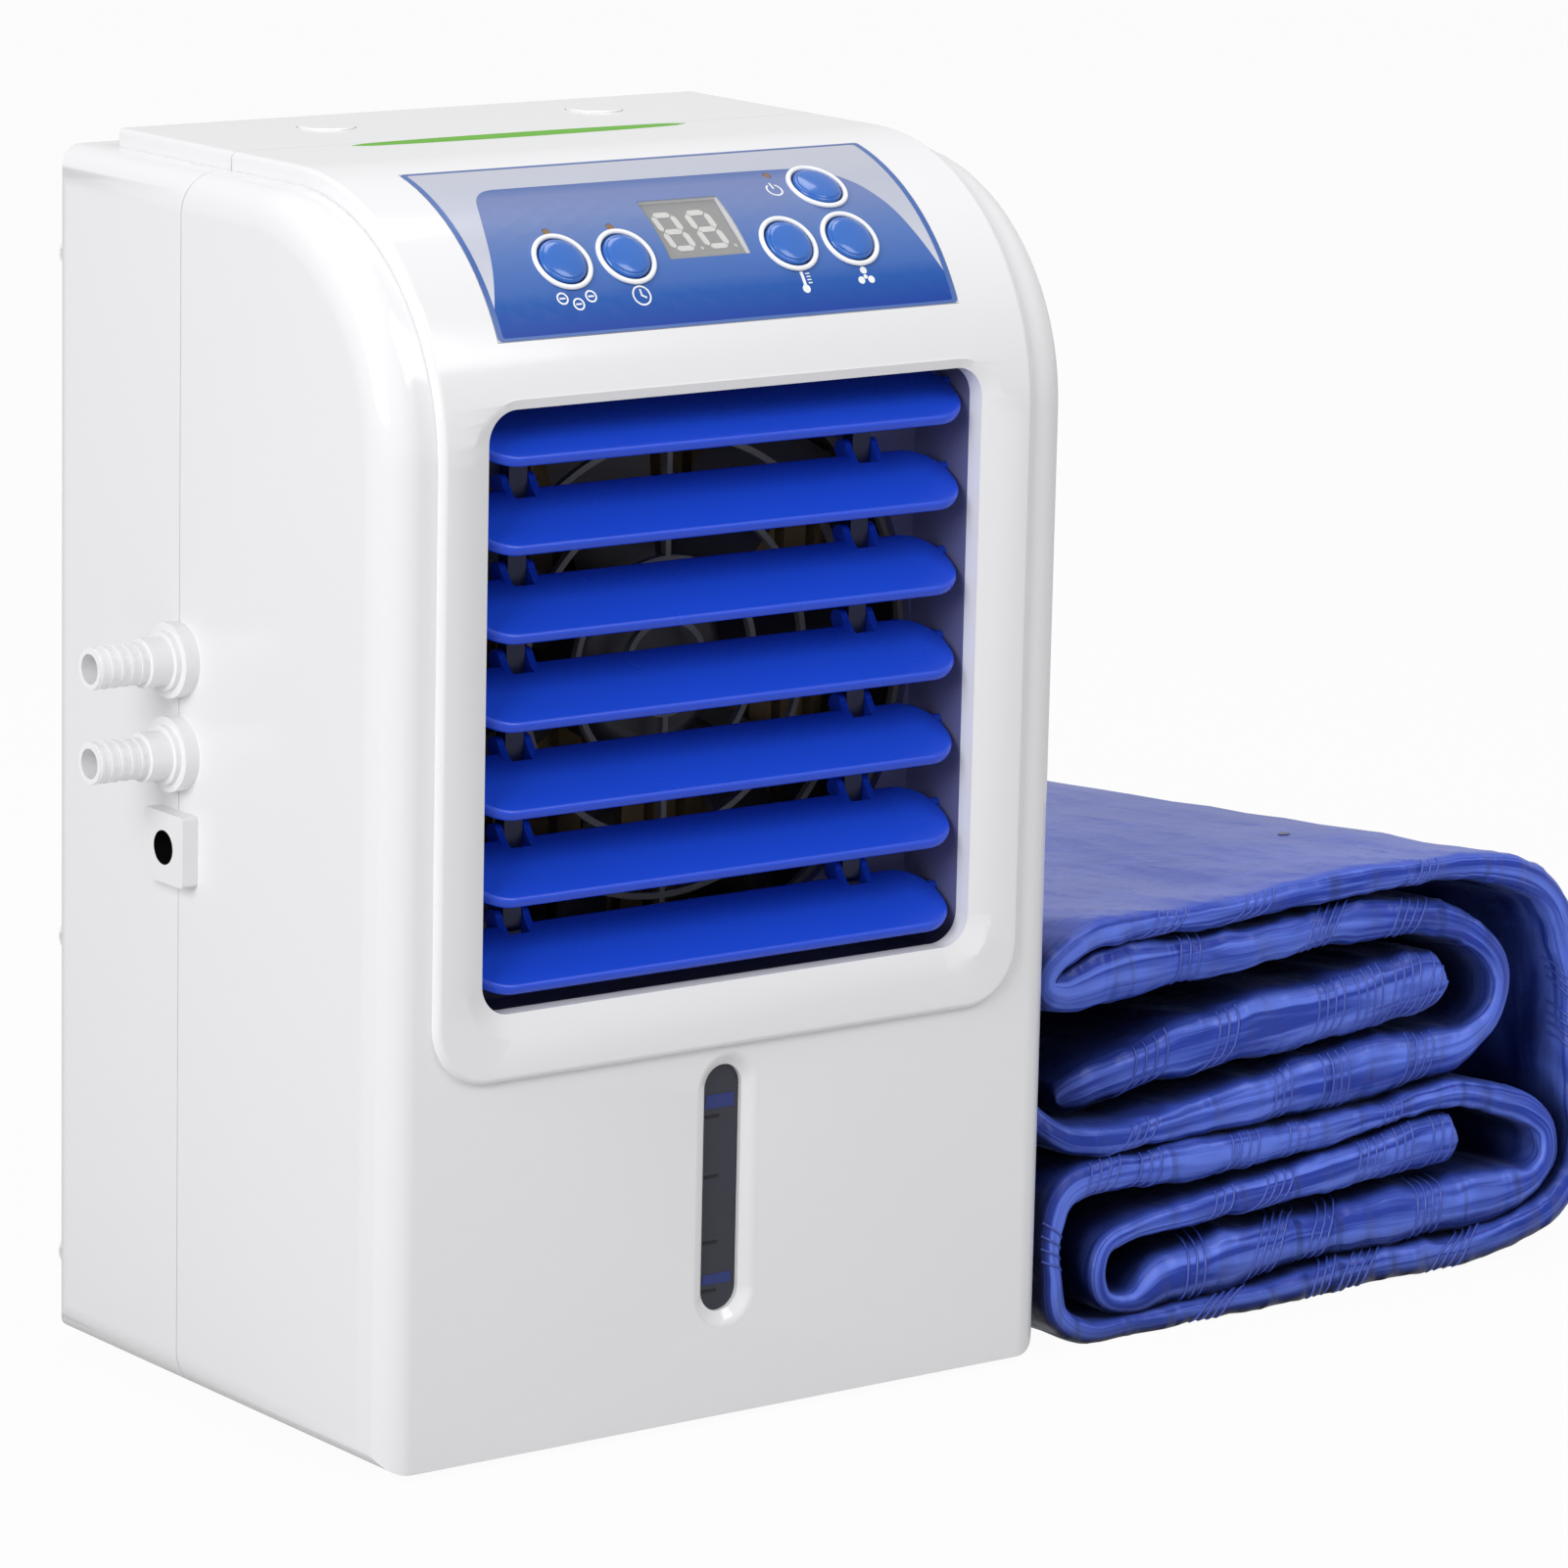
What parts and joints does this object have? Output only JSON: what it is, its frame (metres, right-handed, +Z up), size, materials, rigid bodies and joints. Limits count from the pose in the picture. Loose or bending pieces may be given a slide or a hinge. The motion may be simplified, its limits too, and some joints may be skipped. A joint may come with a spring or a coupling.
{
  "type": "water cooling mattress pad",
  "caption": "Bedside water cooling unit with louvred fan, buttons, tank, pump and hose barbs, and a folded blue padded mattress pad beside it.",
  "frame": {"origin": "on the floor, under the middle of the cooling unit's casing", "axes": "+X to the right seen from the front, towards the folded pad; -Y is the unit's front with the louvres; +Z up"},
  "size_m": [0.4351, 0.2795, 0.317],
  "materials": {
    "shell_white": "glossy moulded ABS",
    "panel_film": "silver film printed with a blue field",
    "button_gel": "blue gel domes in white rings",
    "display_glass": "clear window",
    "display_grey": "grey display face",
    "lamp_clear": "clear resin",
    "louver_blue": "glossy royal blue",
    "tie_blue": "satin blue",
    "duct_grey": "blue grey",
    "guard_grey": "light grey",
    "fan_black": "black",
    "lens_smoked": "smoked window",
    "fitting_white": "off-white acetal",
    "inlet_white": "light grey block",
    "pin_metal": "plated pin",
    "foot_rubber": "soft feet",
    "tank_plastic": "milky polypropylene",
    "pump_grey": "dark grey",
    "hose_clear": "soft clear hose",
    "curtain_paper": "honeycomb paper",
    "inner_white": "plain inner parts",
    "filter_net": "dark net",
    "screw_steel": "zinc plated",
    "board_green": "green board",
    "chip_black": "black parts",
    "wire_red": "insulated wires",
    "pad_blue": "satin blue quilted nylon"
  },
  "bodies": {
    "unit": {"front_shell": "shell_white", "rear_shell": "shell_white", "panel_overlay": "panel_film", "display_module": "display_grey", "display_window": "display_glass", "indicator_lamps": "lamp_clear", "louver_frame": "duct_grey", "fan_guard": "guard_grey", "fan_frame": "fan_black", "window_lens": "lens_smoked", "supply_fitting": "fitting_white", "return_fitting": "fitting_white", "power_inlet": "inlet_white", "inlet_pin": "pin_metal", "top_plugs": "shell_white", "feet": "foot_rubber", "water_tank": "tank_plastic", "tank_cover": "tank_plastic", "fill_chute": "tank_plastic", "pump_body": "pump_grey", "pump_cover": "pump_grey", "supply_hose": "hose_clear", "return_hose": "hose_clear", "fitting_nuts": "fitting_white", "wet_curtain": "curtain_paper", "curtain_frame": "inner_white", "fan_screws": "screw_steel", "shell_screws": "screw_steel", "board_screws": "screw_steel", "panel_board": "board_green", "tact_switches": "chip_black", "main_board": "board_green", "board_parts": "chip_black", "ion_generator": "inner_white", "wiring": "wire_red"},
    "button_ion": {"button_ion": "button_gel"},
    "button_timer": {"button_timer": "button_gel"},
    "button_thermostat": {"button_thermostat": "button_gel"},
    "button_fan_speed": {"button_fan_speed": "button_gel"},
    "button_power": {"button_power": "button_gel"},
    "louver_1": {"louver_1": "louver_blue"},
    "louver_2": {"louver_2": "louver_blue"},
    "louver_3": {"louver_3": "louver_blue"},
    "louver_4": {"louver_4": "louver_blue"},
    "louver_5": {"louver_5": "louver_blue"},
    "louver_6": {"louver_6": "louver_blue"},
    "louver_7": {"louver_7": "louver_blue"},
    "tie_bars": {"tie_bar_left": "tie_blue", "tie_bar_right": "tie_blue"},
    "fan": {"fan_rotor": "fan_black"},
    "impeller": {"pump_impeller": "pump_grey"},
    "grille": {"rear_grille": "shell_white", "dust_filter": "filter_net"},
    "fill_door": {"fill_door": "shell_white"},
    "pad": {"mattress_pad": "pad_blue"}
  },
  "joints": [
    {"name": "button_ion_press", "type": "slide", "parent": "unit", "child": "button_ion", "axis": [0, 0.729, -0.6845], "range_m": [0, 0.0006], "stiffness_N_per_m": 1500},
    {"name": "button_timer_press", "type": "slide", "parent": "unit", "child": "button_timer", "axis": [0, 0.729, -0.6845], "range_m": [0, 0.0006], "stiffness_N_per_m": 1500},
    {"name": "button_thermostat_press", "type": "slide", "parent": "unit", "child": "button_thermostat", "axis": [0, 0.729, -0.6845], "range_m": [0, 0.0006], "stiffness_N_per_m": 1500},
    {"name": "button_fan_speed_press", "type": "slide", "parent": "unit", "child": "button_fan_speed", "axis": [0, 0.729, -0.6845], "range_m": [0, 0.0006], "stiffness_N_per_m": 1500},
    {"name": "button_power_press", "type": "slide", "parent": "unit", "child": "button_power", "axis": [0, 0.5165, -0.8563], "range_m": [0, 0.0006], "stiffness_N_per_m": 1500},
    {"name": "louver_1_tilt", "type": "hinge", "parent": "unit", "child": "louver_1", "pos_m": [0, -0.0625, 0.1269], "axis": [1, 0, 0], "range_deg": [-40, 14]},
    {"name": "louver_2_tilt", "type": "hinge", "parent": "unit", "child": "louver_2", "pos_m": [0, -0.0625, 0.14865], "axis": [1, 0, 0], "range_deg": [-40, 14]},
    {"name": "louver_3_tilt", "type": "hinge", "parent": "unit", "child": "louver_3", "pos_m": [0, -0.0625, 0.1704], "axis": [1, 0, 0], "range_deg": [-40, 14]},
    {"name": "louver_4_tilt", "type": "hinge", "parent": "unit", "child": "louver_4", "pos_m": [0, -0.0625, 0.19215], "axis": [1, 0, 0], "range_deg": [-40, 14]},
    {"name": "louver_5_tilt", "type": "hinge", "parent": "unit", "child": "louver_5", "pos_m": [0, -0.0625, 0.2139], "axis": [1, 0, 0], "range_deg": [-40, 14]},
    {"name": "louver_6_tilt", "type": "hinge", "parent": "unit", "child": "louver_6", "pos_m": [0, -0.0625, 0.23565], "axis": [1, 0, 0], "range_deg": [-40, 14]},
    {"name": "louver_7_tilt", "type": "hinge", "parent": "unit", "child": "louver_7", "pos_m": [0, -0.0625, 0.2574], "axis": [1, 0, 0], "range_deg": [-40, 14]},
    {"name": "tie_bars_swing", "type": "hinge", "parent": "louver_4", "child": "tie_bars", "pos_m": [0, -0.05496, 0.19789], "axis": [1, 0, 0], "range_deg": [-14, 40]},
    {"name": "fan_spin", "type": "hinge", "parent": "unit", "child": "fan", "pos_m": [0, -0.033, 0.189], "axis": [0, -1, 0], "continuous": true},
    {"name": "impeller_spin", "type": "hinge", "parent": "unit", "child": "impeller", "pos_m": [-0.062, 0.018, 0.0245], "axis": [0, -1, 0], "continuous": true},
    {"name": "grille_hinge", "type": "hinge", "parent": "unit", "child": "grille", "pos_m": [0, 0.0755, 0.13], "axis": [-1, 0, 0], "range_deg": [0, 80]},
    {"name": "fill_door_hinge", "type": "hinge", "parent": "unit", "child": "fill_door", "pos_m": [0, 0.0755, 0.0965], "axis": [-1, 0, 0], "range_deg": [0, 40]},
    {"name": "pad_slide", "type": "slide", "parent": "unit", "child": "pad", "axis": [1, 0, 0], "range_m": [0, 0.15]}
  ],
  "couplings": [
    {"joint": "louver_1_tilt", "follows": "louver_4_tilt", "ratio": 1},
    {"joint": "louver_2_tilt", "follows": "louver_4_tilt", "ratio": 1},
    {"joint": "louver_3_tilt", "follows": "louver_4_tilt", "ratio": 1},
    {"joint": "louver_5_tilt", "follows": "louver_4_tilt", "ratio": 1},
    {"joint": "louver_6_tilt", "follows": "louver_4_tilt", "ratio": 1},
    {"joint": "louver_7_tilt", "follows": "louver_4_tilt", "ratio": 1},
    {"joint": "tie_bars_swing", "follows": "louver_4_tilt", "ratio": -1}
  ]
}
